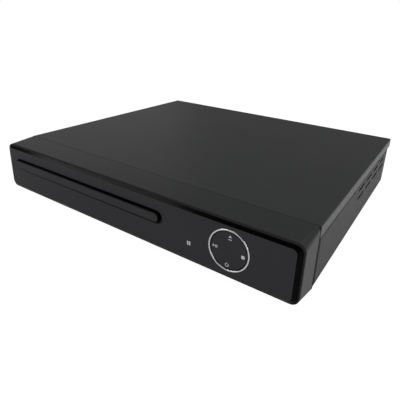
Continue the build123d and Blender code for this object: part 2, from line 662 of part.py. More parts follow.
with BuildPart() as tray_front:
    with BuildSketch(facing_front(TRAY_Y)):
        with Locations((TRAY_X, PILL_Z)):
            SlotOverall(PILL_W - 2 * PILL_GAP, PILL_H - 2 * PILL_GAP)
    extrude(amount=TRAY_FRONT_T)
    fillet(tray_front.faces().sort_by(Axis.Y)[0].edges(), 0.5)
save(tray_front, "tray_front")

# ---------------------------------------------------------------- loading drive
BELT_Z = DECK_Z + DECK_T + 1.5
with BuildPart() as loading_motor:
    round_z(MOTOR_X, MOTOR_Y, FLOOR + 0.7, DECK_Z, MOTOR_R)
    round_z(MOTOR_X, MOTOR_Y, DECK_Z - 0.1, DECK_Z + 1.2, 3.0)
    round_z(MOTOR_X, MOTOR_Y, DECK_Z, DECK_Z + 5.4, 1.0)
save(loading_motor, "loading_motor")


def grooved_wheel(x, y, z0, z1, radius, bore, groove_z):
    """A pulley with a square groove for the belt."""
    round_z(x, y, z0, z1, radius + 1.0)
    with BuildSketch(Plane.XY.offset(groove_z - BELT_T / 2 - 0.25)) as groove:
        with Locations((x, y)):
            Circle(radius + 2)
            Circle(radius - 0.3, mode=Mode.SUBTRACT)
    extrude(groove.sketch, amount=BELT_T + 0.5, mode=Mode.SUBTRACT)
    round_z(x, y, z0 - 1, z1 + 1, bore, Mode.SUBTRACT)


with BuildPart() as motor_pulley:
    grooved_wheel(MOTOR_X, MOTOR_Y, BELT_Z - 1.2, BELT_Z + 1.3, MOTOR_PULLEY_R, 1.0 + RUN, BELT_Z)
save(motor_pulley, "motor_pulley")

belt_dx = PULLEY_X - MOTOR_X
belt_dy = PULLEY_Y - MOTOR_Y
belt_span = hypot(belt_dx, belt_dy)
belt_turn = atan2(belt_dy, belt_dx)
belt_lean = acos((PULLEY_R - MOTOR_PULLEY_R) / belt_span)


def belt_outline(grow):
    """The loop round both pulleys, grown outwards from the groove floors."""
    small = MOTOR_PULLEY_R + grow
    large = PULLEY_R + grow
    up = belt_turn + pi - belt_lean
    down = belt_turn + pi + belt_lean
    points = []
    for x, y, r in ((PULLEY_X, PULLEY_Y, large), (MOTOR_X, MOTOR_Y, small)):
        points.append(((x + r * cos(up), y + r * sin(up)), (x + r * cos(down), y + r * sin(down))))
    (large_up, large_down), (small_up, small_down) = points
    far = (PULLEY_X + large * cos(belt_turn), PULLEY_Y + large * sin(belt_turn))
    near = (MOTOR_X - small * cos(belt_turn), MOTOR_Y - small * sin(belt_turn))
    with BuildLine(mode=Mode.PRIVATE) as loop:
        Line(small_up, large_up)
        ThreePointArc(large_up, far, large_down)
        Line(large_down, small_down)
        ThreePointArc(small_down, near, small_up)
    return loop.edges()


with BuildPart() as drive_belt:
    with BuildSketch(Plane.XY.offset(BELT_Z - BELT_T / 2)):
        make_face(belt_outline(BELT_T))
    extrude(amount=BELT_T)
    with BuildSketch(Plane.XY.offset(BELT_Z - BELT_T / 2)):
        make_face(belt_outline(0))
    extrude(amount=BELT_T, mode=Mode.SUBTRACT)
save(drive_belt, "drive_belt")

PAIR_Z = BELT_Z + 1.5
PAIR_T = 1.2
DRIVER_PHASE = 0.0  # a driver tooth faces the wheel, which has a gap there
WHEEL_PHASE = 180.0 + 180.0 / WHEEL_TEETH
with BuildPart() as pulley_gear:
    grooved_wheel(PULLEY_X, PULLEY_Y, BELT_Z - 1.2, BELT_Z + 1.3, PULLEY_R, POST_R + RUN, BELT_Z)
    toothed_wheel(PULLEY_X, PULLEY_Y, BELT_Z + 1.3, PAIR_Z + PAIR_T, DRIVER_TEETH, PITCH_2, DRIVER_PHASE)
    round_z(PULLEY_X, PULLEY_Y, BELT_Z - 2, PAIR_Z + PAIR_T + 1, POST_R + RUN, Mode.SUBTRACT)
save(pulley_gear, "pulley_gear")

with BuildPart() as tray_gear:
    toothed_wheel(TRAY_GEAR_X, TRAY_GEAR_Y, PAIR_Z, PAIR_Z + PAIR_T, WHEEL_TEETH, PITCH_2, WHEEL_PHASE)
    toothed_wheel(TRAY_GEAR_X, TRAY_GEAR_Y, PAIR_Z + PAIR_T, CHANNEL_TOP - FIT, PINION_TEETH, PITCH_1, 0.0)
    round_z(TRAY_GEAR_X, TRAY_GEAR_Y, DECK_Z + DECK_T + FIT, PAIR_Z + 0.1, POST_R + 0.6)
    round_z(TRAY_GEAR_X, TRAY_GEAR_Y, DECK_Z, TRAY_BOTTOM - 0.5, POST_R + RUN, Mode.SUBTRACT)
save(tray_gear, "tray_gear")

CAM_Z0 = FLOOR + 1.6 + FIT
CAM_Z1 = BASE + 17.6
CAM_X0 = TRAY_X - CAM_PIN_X - CAM_STROKE - 8
CAM_X1 = TRAY_X + CAM_PIN_X + 8
with BuildPart() as cam_slider:
    block(CAM_X0, CAM_X1, CAM_Y0, CAM_Y1, CAM_Z0, CAM_Z1)
    with BuildSketch(facing_front(CAM_Y0 - 1)):
        for sx in (-1, 1):
            with Locations((TRAY_X + sx * CAM_PIN_X - CAM_STROKE / 2, CAM_PIN_Z - CAM_DROP / 2)):
                SlotCenterToCenter(
                    hypot(CAM_STROKE, CAM_DROP), 2 * (PIN_R + 0.2), rotation=degrees(atan2(CAM_DROP, CAM_STROKE))
                )
    extrude(amount=-(CAM_Y1 - CAM_Y0 + 2), mode=Mode.SUBTRACT)
save(cam_slider, "cam_slider")

# ---------------------------------------------------------------- traverse
CRADLE_Z0 = BASE + 10.0
CRADLE_Z1 = BASE + 19.4
CRADLE_BACK = HINGE_Y + 5.0
PLATE_X0 = TRAY_X - CRADLE_W / 2 + 2.5
PLATE_X1 = TRAY_X + CRADLE_W / 2 - 2.5
PLATE_Y0 = CRADLE_FRONT + 6.0
PLATE_Y1 = HINGE_Y - 5.0
MOUNTS = [(TRAY_X + sx * 33.5, y) for sx in (-1, 1) for y in (PLATE_Y0 + 3.5, PLATE_Y1 - 3.5)]
GROMMET_R = 3.2
SPINDLE_MOTOR_R = 11.0
SPINDLE_SHAFT_R = 1.0
PICKUP_TRAVEL = 35.0
WINDOW_Y0 = PICKUP_Y - 7.5
SLED_GEAR_X = RACK2_X + PITCH_3 * SLED_GEAR_SMALL / 2
SLED_PINION_X = SLED_GEAR_X
SLED_PINION_Y = SLED_GEAR_Y - PITCH_3 * (SLED_GEAR_LARGE + SLED_PINION_TEETH) / 2
SLED_MOTOR_R = 6.0
LARGE_Z = PLATE_Z + PLATE_T + 2.4
LARGE_T = 1.3

with BuildPart() as traverse_cradle:
    block(
        TRAY_X - CRADLE_W / 2, TRAY_X + CRADLE_W / 2, CRADLE_FRONT, CRADLE_BACK, CRADLE_Z0, CRADLE_Z1
    )
    block(PLATE_X0 - 0.5, PLATE_X1 + 0.5, PLATE_Y0 - 0.5, PLATE_Y1 + 0.5, CRADLE_Z0 - 1, CRADLE_Z1 + 1, Mode.SUBTRACT)
    for x, y in MOUNTS:
        side = 1 if x > TRAY_X else -1
        wall = TRAY_X + side * (CRADLE_W / 2 - 2)
        block(min(wall, x - 3.6), max(wall, x + 3.6), y - 3.6, y + 3.6, CRADLE_Z0, PLATE_Z - 1.6)
        round_z(x, y, CRADLE_Z0 - 1, PLATE_Z, 1.0, Mode.SUBTRACT)
    for sx in (-1, 1):
        round_y(TRAY_X + sx * CAM_PIN_X, CAM_PIN_Z, CAM_Y0 - 0.4, CRADLE_FRONT + 0.5, PIN_R)
    round_x(
        HINGE_Y, HINGE_Z, TRAY_X - CRADLE_W / 2 - 6, TRAY_X + CRADLE_W / 2 + 6, PIN_R + 0.5
    )
save(traverse_cradle, "traverse_cradle")

ROD_Y0 = PICKUP_Y - 10.0
ROD_Y1 = PLATE_Y1 - 0.5
with BuildPart() as sled_base:
    block(PLATE_X0, PLATE_X1, PLATE_Y0, PLATE_Y1, PLATE_Z, PLATE_Z + PLATE_T)
    round_z(TRAY_X, SPINDLE_Y, PLATE_Z - 1, PLATE_Z + 3, SPINDLE_MOTOR_R + 0.2, Mode.SUBTRACT)
    block(
        TRAY_X - PICKUP_W / 2 - 1, TRAY_X + PICKUP_W / 2 + 1, WINDOW_Y0 - 0.5, PLATE_Y1 - 3, PLATE_Z - 1,
        PLATE_Z + 3, Mode.SUBTRACT,
    )
    for x, y in MOUNTS:
        round_z(x, y, PLATE_Z - 1, PLATE_Z + 3, GROMMET_R - 0.8, Mode.SUBTRACT)
    round_z(SLED_PINION_X, SLED_PINION_Y, PLATE_Z - 1, PLATE_Z + 3, 2.0, Mode.SUBTRACT)
    round_z(SLED_GEAR_X, SLED_GEAR_Y, PLATE_Z, LARGE_Z + LARGE_T - 0.2, 1.0)
    for sx in (-1, 1):
        for y in (ROD_Y0, ROD_Y1 - 4):
            x = TRAY_X + sx * ROD_X
            block(x - 2.4, x + 2.4, y, y + 4, PLATE_Z + PLATE_T - 0.1, ROD_Z + 2.2)
            round_y(x, ROD_Z, y - 1, y + 5, ROD_R, Mode.SUBTRACT)
save(sled_base, "sled_base")

with BuildPart() as damper_grommets:
    for x, y in MOUNTS:
        round_z(x, y, PLATE_Z - 1.6, PLATE_Z, GROMMET_R)
        round_z(x, y, PLATE_Z - 0.1, PLATE_Z + PLATE_T + 0.1, GROMMET_R - 0.8)
        round_z(x, y, PLATE_Z + PLATE_T, PLATE_Z + PLATE_T + 1.4, GROMMET_R)
        round_z(x, y, PLATE_Z - 2, PLATE_Z + PLATE_T + 2, 1.05, Mode.SUBTRACT)
save(damper_grommets, "damper_grommets")

with BuildPart() as damper_screws:
    screws(
        [(x, y, PLATE_Z + PLATE_T + 1.4) for x, y in MOUNTS], lambda p: Plane(p), 6.0, head_r=2.4, shank_r=0.98
    )
save(damper_screws, "damper_screws")

SPINDLE_MOTOR_TOP = BASE + 19.6
with BuildPart() as spindle_motor:
    round_z(TRAY_X, SPINDLE_Y, BASE + 11.5, SPINDLE_MOTOR_TOP, SPINDLE_MOTOR_R)
    round_z(TRAY_X, SPINDLE_Y, PLATE_Z + PLATE_T, PLATE_Z + PLATE_T + 0.8, SPINDLE_MOTOR_R + 2.0)
    round_z(TRAY_X, SPINDLE_Y, SPINDLE_MOTOR_TOP - 0.1, SPINDLE_MOTOR_TOP + 1.0, 3.0)
    round_z(TRAY_X, SPINDLE_Y, BASE + 12.5, SPINDLE_MOTOR_TOP + 2, SPINDLE_SHAFT_R + RUN, Mode.SUBTRACT)
save(spindle_motor, "spindle_motor")

with BuildPart() as spindle_shaft:
    round_z(TRAY_X, SPINDLE_Y, BASE + 12.8, HUB_TOP - 0.4, SPINDLE_SHAFT_R)
save(spindle_shaft, "spindle_shaft")

SEAT_Z = BASE + 26.5
with BuildPart() as turntable:
    round_z(TRAY_X, SPINDLE_Y, SEAT_Z - 1.8, HUB_TOP, HUB_R)
    chamfer(turntable.edges().group_by(Axis.Z)[-1], 0.8)
    round_z(TRAY_X, SPINDLE_Y, SEAT_Z - 1.8, SEAT_Z, 15.0)
    round_z(TRAY_X, SPINDLE_Y, SPINDLE_MOTOR_TOP + 1.0 + FIT, SEAT_Z - 1.7, 6.0)
    round_z(TRAY_X, SPINDLE_Y, BASE + 18, HUB_TOP + 1, SPINDLE_SHAFT_R, Mode.SUBTRACT)
save(turntable, "turntable")

with BuildPart() as guide_rods:
    for sx in (-1, 1):
        round_y(TRAY_X + sx * ROD_X, ROD_Z, ROD_Y0, ROD_Y1, ROD_R)
save(guide_rods, "guide_rods")

ARM_X = ROD_X + 2.6
ARM_Z0 = PLATE_Z + PLATE_T + 0.4
ARM_Z1 = ROD_Z + 2.0
LENS_TOP = BASE + 25.0
LENS_CUP_R = 5.6
with BuildPart() as pickup_body:
    block(
        TRAY_X - PICKUP_W / 2, TRAY_X + PICKUP_W / 2, PICKUP_Y - 6.5, PICKUP_Y + 16, BASE + 11.0, BASE + 20.3
    )
    block(TRAY_X - ARM_X, TRAY_X + ARM_X, PICKUP_Y - 5.5, PICKUP_Y + 10, ARM_Z0, ARM_Z1)
    for sx in (-1, 1):
        round_y(TRAY_X + sx * ROD_X, ROD_Z, PICKUP_Y - 8, PICKUP_Y + 12, ROD_R + RUN, Mode.SUBTRACT)
    block(
        TRAY_X - 8.3, TRAY_X + 8.3, PICKUP_Y - 5.5, PICKUP_Y + 9, BASE + 17.4, BASE + 22, Mode.SUBTRACT
    )
save(pickup_body, "pickup_body")

RACK2_Z0 = PLATE_Z + PLATE_T + 0.4
RACK2_Z1 = LARGE_Z - FIT
RACK2_BEFORE = round(PICKUP_TRAVEL / (pi * PITCH_3)) + 2
RACK2_Y0 = SLED_GEAR_Y - RACK2_BEFORE * pi * PITCH_3
RACK2_COUNT = RACK2_BEFORE + 2
with BuildPart() as pickup_rack:
    rack_end = RACK2_Y0 + RACK2_COUNT * pi * PITCH_3
    block(RACK2_X - 3.0, RACK2_X - 1.2 * PITCH_3, RACK2_Y0, rack_end, RACK2_Z0, RACK2_Z1)
    rack_teeth(RACK2_X, RACK2_Y0, RACK2_COUNT, RACK2_Z0, RACK2_Z1, PITCH_3, 1)
    block(TRAY_X + ARM_X, RACK2_X - 2.5, PICKUP_Y - 5.5, PICKUP_Y + 10, RACK2_Z0, RACK2_Z1)
save(pickup_rack, "pickup_rack")

with BuildPart() as lens_holder:
    block(TRAY_X - 8.0, TRAY_X + 8.0, PICKUP_Y - 5.2, PICKUP_Y + 8.7, BASE + 18.3, BASE + 23.0)
    round_z(TRAY_X, PICKUP_Y, BASE + 22.9, LENS_TOP, LENS_CUP_R - 0.6)
    round_z(TRAY_X, PICKUP_Y, BASE + 19.0, LENS_TOP + 1, 2.5, Mode.SUBTRACT)
save(lens_holder, "lens_holder")

with BuildPart() as objective_lens:
    round_z(TRAY_X, PICKUP_Y, LENS_TOP - 1.4, LENS_TOP - 0.4, 2.5)
save(objective_lens, "objective_lens")

with BuildPart() as sled_motor:
    round_z(SLED_PINION_X, SLED_PINION_Y, BASE + 6.4, PLATE_Z, SLED_MOTOR_R)
    round_z(SLED_PINION_X, SLED_PINION_Y, PLATE_Z - 0.1, LARGE_Z + LARGE_T, 0.75)
save(sled_motor, "sled_motor")

with BuildPart() as sled_pinion:
    toothed_wheel(
        SLED_PINION_X, SLED_PINION_Y, LARGE_Z, LARGE_Z + LARGE_T, SLED_PINION_TEETH, PITCH_3,
        90.0 + 180.0 / SLED_PINION_TEETH,
    )
    round_z(SLED_PINION_X, SLED_PINION_Y, PLATE_Z, BASE + 22, 0.75 + RUN, Mode.SUBTRACT)
save(sled_pinion, "sled_pinion")

with BuildPart() as sled_gear:
    toothed_wheel(
        SLED_GEAR_X, SLED_GEAR_Y, ARM_Z0 + 0.1, LARGE_Z + 0.1, SLED_GEAR_SMALL, PITCH_3, 180.0
    )
    toothed_wheel(SLED_GEAR_X, SLED_GEAR_Y, LARGE_Z, LARGE_Z + LARGE_T, SLED_GEAR_LARGE, PITCH_3, -90.0)
    round_z(SLED_GEAR_X, SLED_GEAR_Y, PLATE_Z, BASE + 22, 1.0 + RUN, Mode.SUBTRACT)
save(sled_gear, "sled_gear")

# ---------------------------------------------------------------- electronics
with BuildPart() as power_board:
    block(POWER_X0, POWER_X1, BOARD_FRONT, BOARD_BACK, BOARD_Z, BOARD_Z + BOARD_T)
    for x, y in BOARD_SPOTS[4:]:
        round_z(x, y, BOARD_Z - 1, BOARD_Z + 3, HOLE_R, Mode.SUBTRACT)
save(power_board, "power_board")

with BuildPart() as main_board:
    block(MAIN_X0, MAIN_X1, BOARD_FRONT, BOARD_BACK, BOARD_Z, BOARD_Z + BOARD_T)
    block(WING_X0, MAIN_X0 + 1, WING_Y, BOARD_BACK, BOARD_Z, BOARD_Z + BOARD_T)
    for x, y in BOARD_SPOTS[:4]:
        round_z(x, y, BOARD_Z - 1, BOARD_Z + 3, HOLE_R, Mode.SUBTRACT)
save(main_board, "main_board")

with BuildPart() as inner_screws:
    screws([(x, y, PARTS_Z) for x, y in BOARD_SPOTS], lambda p: Plane(p), 5.4)
    screws([(x, y, FLOOR + STAND_H + 2.0) for x, y in LOADER_EARS], lambda p: Plane(p), 5.8)
    screws([(x, BOARD_Y + BOARD_T, z) for x, z in FRONT_BOARD_SPOTS], lambda p: Plane(p, z_dir=(0, 1, 0)), 6.0)
save(inner_screws, "inner_screws")

CORE_X = POWER_X0 + 21.0
CORE_Y = FRONT + 122.0
with BuildPart() as transformer_core:
    block(CORE_X - 11, CORE_X + 11, CORE_Y - 13, CORE_Y + 13, PARTS_Z + 3, PARTS_Z + 19)
    block(CORE_X - 12, CORE_X + 12, CORE_Y - 9, CORE_Y + 9, PARTS_Z + 2, PARTS_Z + 20, Mode.SUBTRACT)
    block(CORE_X - 3.5, CORE_X + 3.5, CORE_Y - 10, CORE_Y + 10, PARTS_Z + 8, PARTS_Z + 14)
    block(CORE_X - 11, CORE_X - 8, CORE_Y - 10, CORE_Y + 10, PARTS_Z + 3, PARTS_Z + 19)
    block(CORE_X + 8, CORE_X + 11, CORE_Y - 10, CORE_Y + 10, PARTS_Z + 3, PARTS_Z + 19)
save(transformer_core, "transformer_core")

with BuildPart() as transformer_coil:
    block(CORE_X - 7.7, CORE_X + 7.7, CORE_Y - 8.7, CORE_Y + 8.7, PARTS_Z, PARTS_Z + 18.5)
    block(CORE_X - 3.6, CORE_X + 3.6, CORE_Y - 10, CORE_Y + 10, PARTS_Z + 7.9, PARTS_Z + 14.1, Mode.SUBTRACT)
save(transformer_coil, "transformer_coil")

CAPS = [
    (POWER_X0 + 24, FRONT + 88, 8.0, 25.0),
    (POWER_X0 + 8, FRONT + 148, 4.0, 12.0),
    (POWER_X0 + 18, FRONT + 148, 5.0, 16.0),
    (POWER_X0 + 29, FRONT + 148, 4.0, 12.0),
    (MAIN_X0 + 8, FRONT + 84, 3.0, 8.0),
    (MAIN_X0 + 22, FRONT + 84, 3.0, 8.0),
]
with BuildPart() as capacitors:
    for x, y, r, h in CAPS:
        round_z(x, y, PARTS_Z, PARTS_Z + h, r)
save(capacitors, "capacitors")

SINK_X = POWER_X0 + 5.0
with BuildPart() as heat_sink:
    block(SINK_X - 1, SINK_X + 1, FRONT + 92, FRONT + 128, PARTS_Z, PARTS_Z + 22)
    for i in range(5):
        y = FRONT + 93 + i * 8
        block(SINK_X - 4, SINK_X, y, y + 1.5, PARTS_Z, PARTS_Z + 22)
save(heat_sink, "heat_sink")

with BuildPart() as fuse:
    round_y(POWER_X0 + 18, PARTS_Z + 4.0, FRONT + 155, FRONT + 175, 2.6)
    for y in (FRONT + 156, FRONT + 171):
        block(POWER_X0 + 15, POWER_X0 + 21, y, y + 3, PARTS_Z, PARTS_Z + 4)
save(fuse, "fuse")

with BuildPart() as chips:
    block(MAIN_X0 + 5, MAIN_X0 + 23, FRONT + 110, FRONT + 128, PARTS_Z, PARTS_Z + 1.4)
    block(MAIN_X0 + 8, MAIN_X0 + 20, FRONT + 136, FRONT + 144, PARTS_Z, PARTS_Z + 1.0)
    block(MAIN_X0 + 8, MAIN_X0 + 20, FRONT + 150, FRONT + 158, PARTS_Z, PARTS_Z + 1.0)
    block(MAIN_X0 + 3, MAIN_X0 + 25, FRONT + 98, FRONT + 103, PARTS_Z, PARTS_Z + 3.0)
    block(MAIN_X0 + 6, MAIN_X0 + 22, BOARD_FRONT + 11, BOARD_FRONT + 15, PARTS_Z, PARTS_Z + 3.0)
save(chips, "chips")

# ---------------------------------------------------------------- jacks at the back
with BuildPart() as video_socket:
    x0, x1 = VIDEO_X - VIDEO_W / 2, VIDEO_X + VIDEO_W / 2
    block(x0, x1, PANEL_OUT - 11.5, PANEL_OUT + 0.6, PARTS_Z, PARTS_Z + VIDEO_H)
    block(
        x0 + 0.5, x1 - 0.5, PANEL_OUT - 9.0, PANEL_OUT + 2, PARTS_Z + 0.7, PARTS_Z + VIDEO_H - 0.5,
        Mode.SUBTRACT,
    )
    block(x0 + 2, x1 - 2, PANEL_OUT - 9.5, PANEL_OUT - 1.0, VIDEO_Z - 0.4, VIDEO_Z + 0.6)
save(video_socket, "video_socket")

BLOCK_Z1 = JACK_Z + JACK_PITCH_Z / 2 + 6.5
with BuildPart() as jack_block:
    block(
        JACK_X - 14, JACK_X + 14, PANEL_OUT - SHEET - 11.5, PANEL_OUT - SHEET, PARTS_Z, BLOCK_Z1
    )
    for x, z in JACKS:
        round_y(x, z, PANEL_OUT - SHEET - 0.5, PANEL_OUT, JACK_NOSE_R)
        round_y(x, z, PANEL_OUT - 10, PANEL_OUT + 1, JACK_BORE_R, Mode.SUBTRACT)
save(jack_block, "jack_block")

JACK_TIP = BACK + JACK_OUT
with BuildPart() as jack_barrels:
    for x, z in JACKS:
        round_y(x, z, JACK_SHOULDER, JACK_TIP, JACK_R)
        round_y(x, z, PANEL_OUT, JACK_TIP + 1, JACK_BORE_R, Mode.SUBTRACT)
save(jack_barrels, "jack_barrels")

with BuildPart() as jack_inserts:
    for x, z in JACKS:
        round_y(x, z, PANEL_OUT - 9, JACK_TIP - 0.4, JACK_BORE_R)
        round_y(x, z, PANEL_OUT - 6, JACK_TIP + 1, 1.6, Mode.SUBTRACT)
save(jack_inserts, "jack_inserts")

with BuildPart() as mains_inlet:
    block(
        INLET_X - INLET_W / 2 - 2, INLET_X + INLET_W / 2 + 2, PANEL_OUT - 20, PANEL_OUT + 1.0,
        INLET_Z - INLET_H / 2 - 2, INLET_Z + INLET_H / 2 + 2,
    )
    for sx in (-1, 1):
        foot = INLET_X + sx * INLET_W / 2
        block(foot - 1.5, foot + 1.5, PANEL_OUT - 16, PANEL_OUT - 10, PARTS_Z, INLET_Z - INLET_H / 2)
    with BuildSketch(facing_front(PANEL_OUT + 2)):
        with Locations((INLET_X, INLET_Z)):
            SlotOverall(INLET_W, INLET_H)
    extrude(amount=15.0 + 2, mode=Mode.SUBTRACT)
    for sx in (-1, 1):
        round_y(INLET_X + sx * INLET_PITCH / 2, INLET_Z, PANEL_OUT - 18, PANEL_OUT - 3, 1.2, Mode.SUBTRACT)
save(mains_inlet, "mains_inlet")

with BuildPart() as inlet_pins:
    for sx in (-1, 1):
        round_y(INLET_X + sx * INLET_PITCH / 2, INLET_Z, PANEL_OUT - 18, PANEL_OUT - 4, 1.2)
save(inlet_pins, "inlet_pins")

# ---------------------------------------------------------------- ribbons inside the case
RIBBON_T = 0.3


def ribbon(points, width, x0, bend=2.0):
    """A flat cable of constant width across X, along a path in the Y-Z plane."""
    with BuildSketch(Plane.YZ.offset(x0)) as section:
        with BuildLine():
            FilletPolyline(*points, radius=bend)
        trace(line_width=RIBBON_T)
    extrude(section.sketch, amount=width)


with BuildPart() as ribbon_cables:
    ribbon(
        [
            (BOARD_Y + BOARD_T, BASE + 12),
            (BOARD_Y + BOARD_T + 6, BASE + 12),
            (BOARD_Y + BOARD_T + 12, BASE + 8.2),
            (BOARD_FRONT + 11.0, BASE + 8.2),
        ],
        13.0,
        MAIN_X0 + 9,
    )
save(ribbon_cables, "ribbon_cables")
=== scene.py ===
from math import cos, pi, radians, sin

import bpy
from mathutils import Matrix, Vector


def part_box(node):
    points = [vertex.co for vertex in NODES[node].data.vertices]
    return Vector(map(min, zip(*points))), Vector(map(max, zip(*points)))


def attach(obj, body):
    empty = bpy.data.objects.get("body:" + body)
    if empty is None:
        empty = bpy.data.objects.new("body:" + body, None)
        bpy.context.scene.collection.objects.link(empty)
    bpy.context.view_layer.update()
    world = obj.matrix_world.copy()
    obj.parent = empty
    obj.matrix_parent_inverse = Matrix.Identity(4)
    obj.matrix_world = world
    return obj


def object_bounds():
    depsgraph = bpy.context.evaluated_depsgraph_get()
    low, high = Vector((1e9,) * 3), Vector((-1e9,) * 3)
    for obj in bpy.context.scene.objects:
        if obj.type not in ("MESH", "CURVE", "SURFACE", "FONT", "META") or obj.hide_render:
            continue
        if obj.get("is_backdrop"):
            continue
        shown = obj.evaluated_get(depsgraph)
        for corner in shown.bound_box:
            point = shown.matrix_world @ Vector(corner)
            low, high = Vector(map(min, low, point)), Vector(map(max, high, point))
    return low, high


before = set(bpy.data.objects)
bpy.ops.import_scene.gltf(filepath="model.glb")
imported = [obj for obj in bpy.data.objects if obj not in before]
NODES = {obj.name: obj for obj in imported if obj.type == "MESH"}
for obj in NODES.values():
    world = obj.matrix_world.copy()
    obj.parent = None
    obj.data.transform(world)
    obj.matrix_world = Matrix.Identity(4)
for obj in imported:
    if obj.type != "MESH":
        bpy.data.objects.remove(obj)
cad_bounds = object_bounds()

# A slim disc player with a loading tray. Metres; the player faces -Y and stands on Z = 0.
MM = 0.001


def middle(node):
    lo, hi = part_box(node)
    return (lo + hi) / 2


# ---------------------------------------------------------------- shader helpers
def colour(code):
    """An sRGB hex colour as the linear colour that a shader takes."""
    parts = [int(code[i : i + 2], 16) / 255 for i in (0, 2, 4)]
    return [c / 12.92 if c <= 0.04045 else ((c + 0.055) / 1.055) ** 2.4 for c in parts] + [1.0]


def add(tree, kind, links=None, **settings):
    """Adds a node; links maps an input to an output socket, settings go to inputs or to the node itself."""
    node = tree.nodes.new(kind)
    for name, value in settings.items():
        if hasattr(node, name) and name not in node.inputs:
            setattr(node, name, value)
        else:
            node.inputs[name.replace("_", " ")].default_value = value
    for name, socket in (links or {}).items():
        tree.links.new(socket, node.inputs[name])
    return node


def new_material(name):
    """A material with its tree, its shader and the coordinates of the object it is on."""
    material = bpy.data.materials.new(name)
    material.use_nodes = True
    tree = material.node_tree
    place = add(tree, "ShaderNodeTexCoord")
    return material, tree, tree.nodes["Principled BSDF"], place.outputs["Object"]


def set_inputs(shader, **values):
    for name, value in values.items():
        shader.inputs[name.replace("_", " ")].default_value = value


def figured(tree, operation, first, second=None):
    """The outcome of one sum on a socket and a second socket or a number."""
    node = add(tree, "ShaderNodeMath", {0: first}, operation=operation)
    if isinstance(second, float):
        node.inputs[1].default_value = second
    elif second is not None:
        tree.links.new(second, node.inputs[1])
    return node.outputs[0]


def ranged(tree, value, start, stop, low=0.0, high=1.0):
    """Maps a socket that runs from start to stop onto low to high, and holds it there beyond them."""
    limits = {"From_Min": start, "From_Max": stop, "To_Min": low, "To_Max": high}
    return add(tree, "ShaderNodeMapRange", {"Value": value}, **limits).outputs["Result"]


def blended(tree, share, below, above):
    """Mixes two colours by a share; each of them is a hex colour or a socket."""
    node = add(tree, "ShaderNodeMix", {0: share}, data_type="RGBA")
    for index, value in ((6, below), (7, above)):
        if isinstance(value, str):
            node.inputs[index].default_value = colour(value)
        else:
            tree.links.new(value, node.inputs[index])
    return node.outputs[2]


def noise(tree, place, size_mm, detail):
    """Noise whose spots are of a real size."""
    node = add(tree, "ShaderNodeTexNoise", {"Vector": place}, Scale=1.0 / (size_mm * MM), Detail=detail)
    return node.outputs["Fac"]


def bumped(tree, shader, height, depth_mm, strength):
    bump = add(tree, "ShaderNodeBump", {"Height": height}, Strength=strength, Distance=depth_mm * MM)
    tree.links.new(bump.outputs["Normal"], shader.inputs["Normal"])


FADE_FROM = 0.7  # share of a band's reach at which it starts to fade


def near_plane(tree, place, axis, where, reach):
    """One beside a plane across an axis, fading to none at the end of its reach."""
    axes = add(tree, "ShaderNodeSeparateXYZ", {"Vector": place})
    away = figured(tree, "ABSOLUTE", figured(tree, "SUBTRACT", axes.outputs[axis], where))
    return ranged(tree, away, reach * FADE_FROM, reach, 1.0, 0.0)


# ---------------------------------------------------------------- materials
DRIFT_MM = 35  # how far apart the slow drifts of tone lie


def grained(name, base, tone, rough, grain_mm, bump_mm, metallic=0.0, spread=0.08, bands=()):
    """A surface of one finish: a fine grain of a real size bumps it and varies its gloss; its tone drifts.

    Each band is an axis, a place on it, a reach, and the colour and roughness painted there; the bands paint
    highlight and shade, and the black of the bezel's front rim. It can be kept near a second plane, given as
    its axis, place and reach.
    """
    material, tree, shader, place = new_material(name)
    grain = noise(tree, place, grain_mm, 3.0)
    tint = blended(tree, noise(tree, place, DRIFT_MM, 2.0), base, tone)
    dullness = ranged(tree, grain, 0.0, 1.0, rough - spread, rough + spread)
    for axis, where, reach, code, dull, *kept in bands:
        share = near_plane(tree, place, axis, where, reach)
        if kept:
            share = figured(tree, "MULTIPLY", share, near_plane(tree, place, *kept))
        tint = blended(tree, share, tint, code)
        mixed = add(tree, "ShaderNodeMix", {0: share, 2: dullness}, data_type="FLOAT")
        mixed.inputs[3].default_value = dull
        dullness = mixed.outputs[0]
    tree.links.new(tint, shader.inputs["Base Color"])
    tree.links.new(dullness, shader.inputs["Roughness"])
    bumped(tree, shader, grain, bump_mm, 1.0)
    set_inputs(shader, Metallic=metallic)
    return material


# powder-coated steel sheet: charcoal, a fine orange-peel grain and a soft sheen; a painted highlight makes
# the side flanges paler
COVER_LOW, COVER_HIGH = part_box("top_cover")
FLANGE_HIGHLIGHTS = [("X", edge, 0.5 * MM, "484949", 0.34) for edge in (COVER_LOW.x, COVER_HIGH.x)]
powder_coat = grained("powder_coated_steel", "292a2b", "303132", 0.42, 0.9, 0.03, bands=FLANGE_HIGHLIGHTS)
# the same coat on the chassis, a little flatter, with painted shade: dark in the laps under the cover and
# behind the bezel
LAP_SHADES = [("Z", COVER_LOW.z, 3.6 * MM, "080808", 0.95), ("Y", COVER_LOW.y, 6.5 * MM, "0c0c0c", 0.9)]
chassis_coat = grained("powder_coated_chassis", "272829", "2e2f2f", 0.48, 0.8, 0.03, bands=LAP_SHADES)
# moulded ABS of the bezel: spark-eroded texture, satin, black on the rim that frames the fascia, and painted
# shade as a black line along the rear edges of its sides, at the seam with the chassis
BEZEL_LOW, BEZEL_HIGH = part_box("front_bezel")
BEZEL_RIM_AND_SEAM_SHADE = [("Y", BEZEL_LOW.y, 1.5 * MM, "020202", 0.85)]
